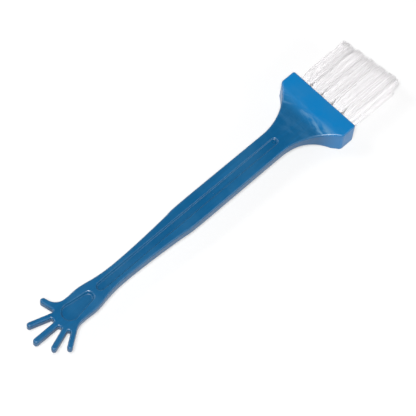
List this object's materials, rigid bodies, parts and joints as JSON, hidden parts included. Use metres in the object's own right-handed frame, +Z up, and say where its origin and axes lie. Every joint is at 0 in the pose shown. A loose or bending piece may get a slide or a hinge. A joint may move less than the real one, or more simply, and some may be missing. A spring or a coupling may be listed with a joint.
{
  "type": "groove brush",
  "caption": "Slim one-piece moulded brush: wide head with stiff nylon tufts, grooved grip, and a small open hand with spread fingers at the other end.",
  "frame": {"origin": "middle of the overall length and width, at the level of the head's underside", "axes": "+Y along the handle from the fingers to the tuft tips, +Z up out of the grooved top face, X across the head"},
  "size_m": [0.0354, 0.19, 0.0112],
  "materials": {
    "handle_plastic": "blue injection-moulded polypropylene, satin gloss",
    "filament": "white nylon filament",
    "anchor_wire": "flat steel wire, plain"
  },
  "bodies": {
    "root": {"handle": "handle_plastic", "tuft_top_1": "filament", "anchor_top_1": "anchor_wire", "tuft_top_2": "filament", "anchor_top_2": "anchor_wire", "tuft_top_3": "filament", "anchor_top_3": "anchor_wire", "tuft_top_4": "filament", "anchor_top_4": "anchor_wire", "tuft_top_5": "filament", "anchor_top_5": "anchor_wire", "tuft_bottom_1": "filament", "anchor_bottom_1": "anchor_wire", "tuft_bottom_2": "filament", "anchor_bottom_2": "anchor_wire", "tuft_bottom_3": "filament", "anchor_bottom_3": "anchor_wire", "tuft_bottom_4": "filament", "anchor_bottom_4": "anchor_wire", "tuft_bottom_5": "filament", "anchor_bottom_5": "anchor_wire"}
  },
  "joints": []
}
